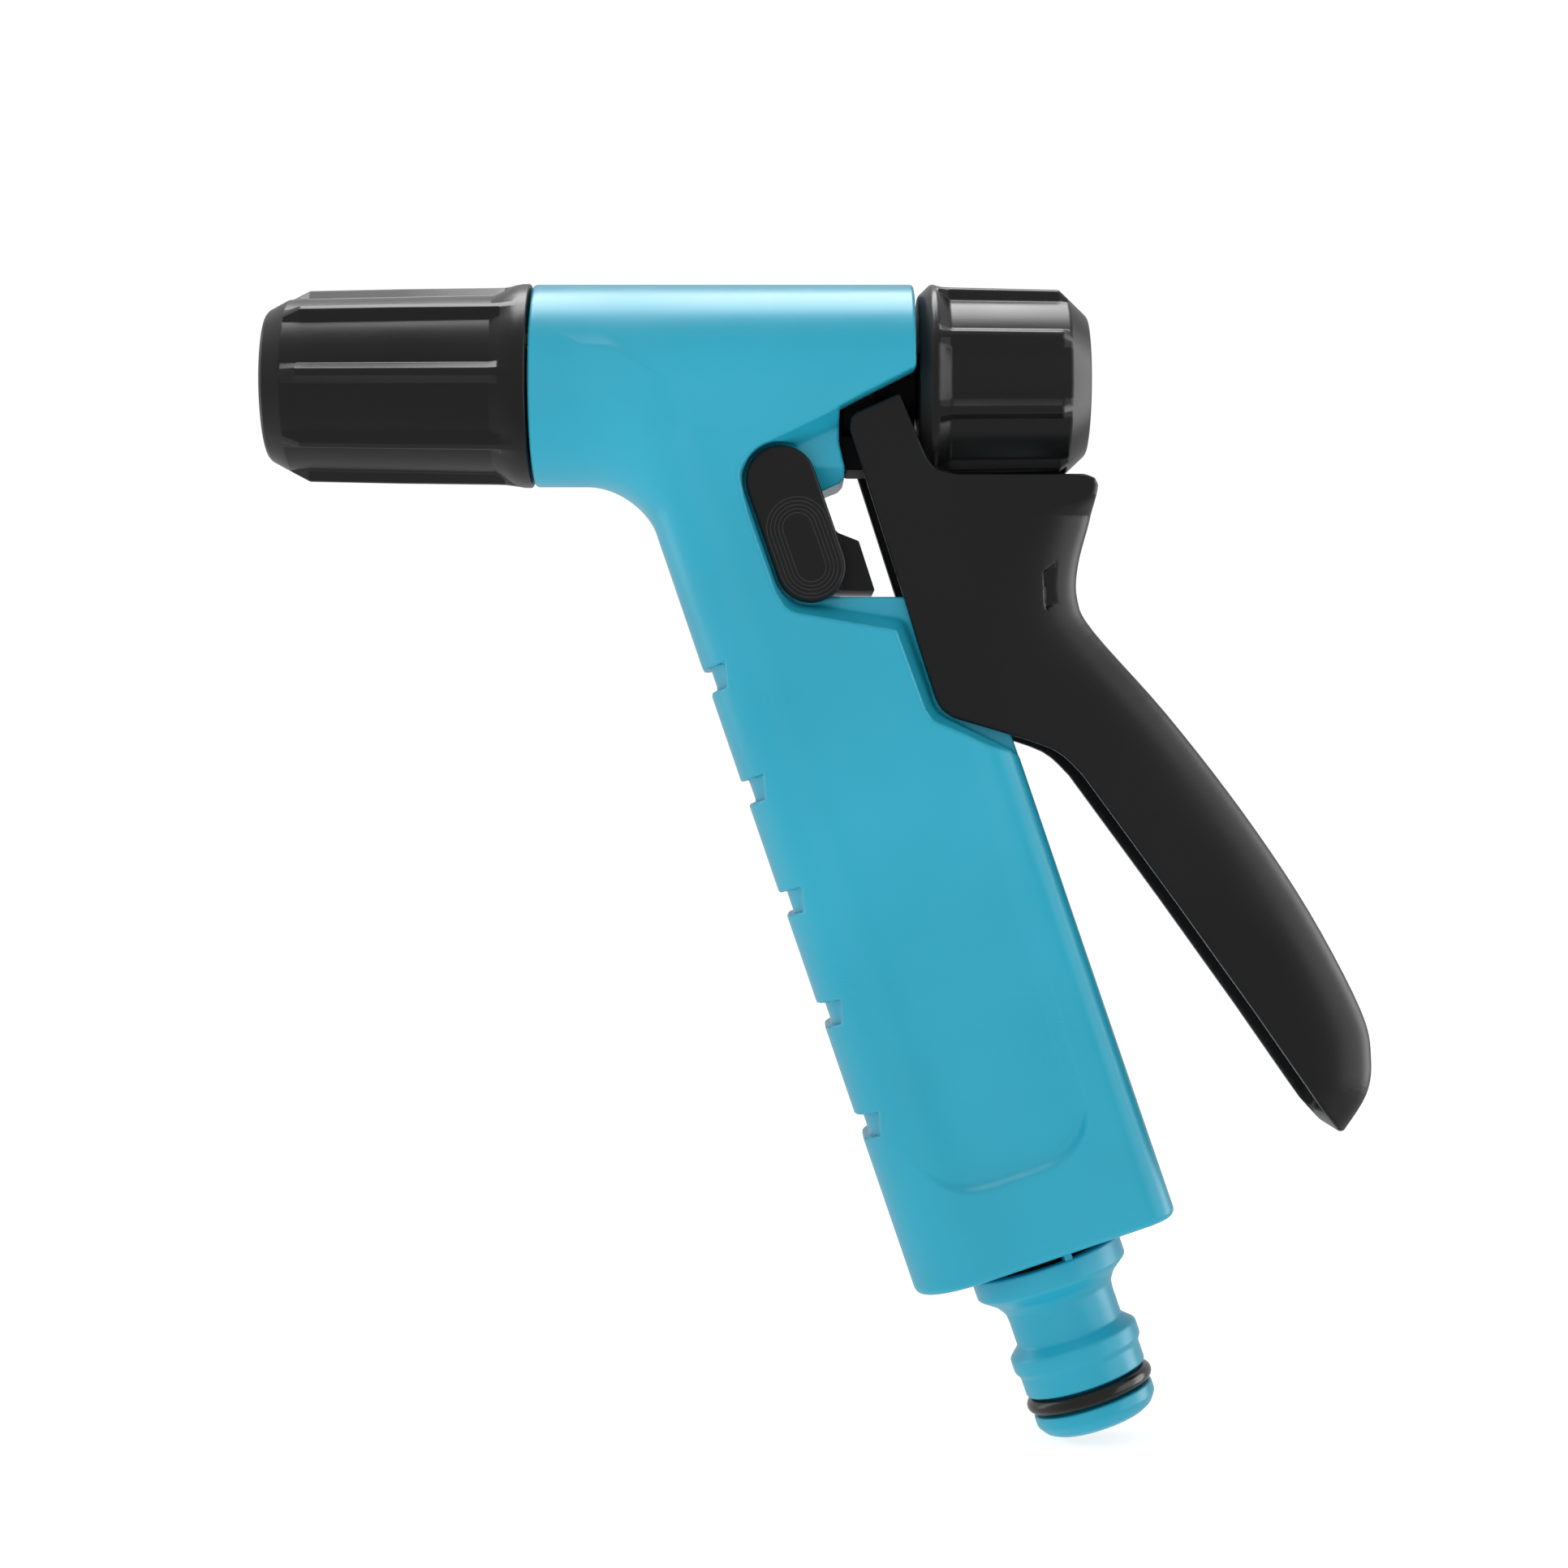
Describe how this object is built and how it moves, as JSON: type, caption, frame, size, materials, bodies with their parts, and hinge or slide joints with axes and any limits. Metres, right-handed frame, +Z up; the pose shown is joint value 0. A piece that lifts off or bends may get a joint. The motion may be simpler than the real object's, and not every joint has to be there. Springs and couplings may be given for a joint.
{
  "type": "hose spray nozzle",
  "caption": "Pistol-grip garden hose spray nozzle with squeeze lever, hold-open latch, twist spray head, rear flow knob and click-on hose nipple.",
  "frame": {"origin": "middle of the whole object's bounding box at rest", "axes": "+X from the spray head to the rear knob along the barrel, +Z up towards the barrel, +Y across the object, the spray leaving along -X"},
  "size_m": [0.1415, 0.0262, 0.1488],
  "materials": {
    "blue_plastic": "satin moulded",
    "black_plastic": "satin moulded",
    "rubber": "smooth",
    "brass": "turned",
    "steel": "plain"
  },
  "bodies": {
    "body": {"housing": "blue_plastic", "inlet_nipple": "blue_plastic", "nipple_oring": "rubber", "inlet_seal_oring": "rubber", "spray_core": "brass", "spigot_oring": "rubber", "valve_seat": "brass", "seat_oring": "rubber", "rear_bonnet": "black_plastic", "bonnet_oring": "rubber", "stem_seal": "rubber", "pivot_pin": "steel", "latch_pin": "steel"},
    "valve": {"valve_stem": "steel", "poppet": "black_plastic", "poppet_seal": "rubber", "poppet_screw": "steel", "valve_spring": "steel", "stem_clip": "steel"},
    "knob_carrier": {"knob_nut": "brass"},
    "knob": {"regulator_knob": "black_plastic", "knob_cap": "black_plastic"},
    "head_carrier": {"spray_disc": "black_plastic"},
    "head": {"nozzle_sleeve": "black_plastic"},
    "lever": {"trigger_lever": "black_plastic"},
    "latch": {"latch_hook": "black_plastic", "latch_button_right": "black_plastic", "latch_button_left": "black_plastic"}
  },
  "joints": [
    {"name": "lever_squeeze", "type": "hinge", "parent": "body", "child": "lever", "pos_m": [0.01861, 0, 0.02285], "axis": [0, 1, 0], "range_deg": [0, 10], "stiffness_Nm_per_rad": 1.2, "springref_deg": -17.19},
    {"name": "valve_slide", "type": "slide", "parent": "body", "child": "valve", "axis": [1, 0, 0], "range_m": [0, 0.0059], "deforming": ["valve_spring"]},
    {"name": "knob_advance", "type": "slide", "parent": "valve", "child": "knob_carrier", "axis": [1, 0, 0], "range_m": [0, 0.003]},
    {"name": "knob_turn", "type": "hinge", "parent": "knob_carrier", "child": "knob", "pos_m": [0.02391, 0, 0.06125], "axis": [1, 0, 0], "range_deg": [0, 720]},
    {"name": "head_advance", "type": "slide", "parent": "body", "child": "head_carrier", "axis": [-1, 0, 0], "range_m": [0, 0.003]},
    {"name": "head_turn", "type": "hinge", "parent": "head_carrier", "child": "head", "pos_m": [-0.05359, 0, 0.06125], "axis": [-1, 0, 0], "range_deg": [0, 360]},
    {"name": "latch_turn", "type": "hinge", "parent": "body", "child": "latch", "pos_m": [-0.00458, 0, 0.04809], "axis": [0, 1, 0], "range_deg": [-8, 0]}
  ],
  "couplings": [
    {"joint": "valve_slide", "follows": "lever_squeeze", "m_per_rad": 0.0335},
    {"joint": "knob_advance", "follows": "knob_turn", "m_per_rad": 0.00023873},
    {"joint": "head_advance", "follows": "head_turn", "m_per_rad": 0.00047746}
  ]
}
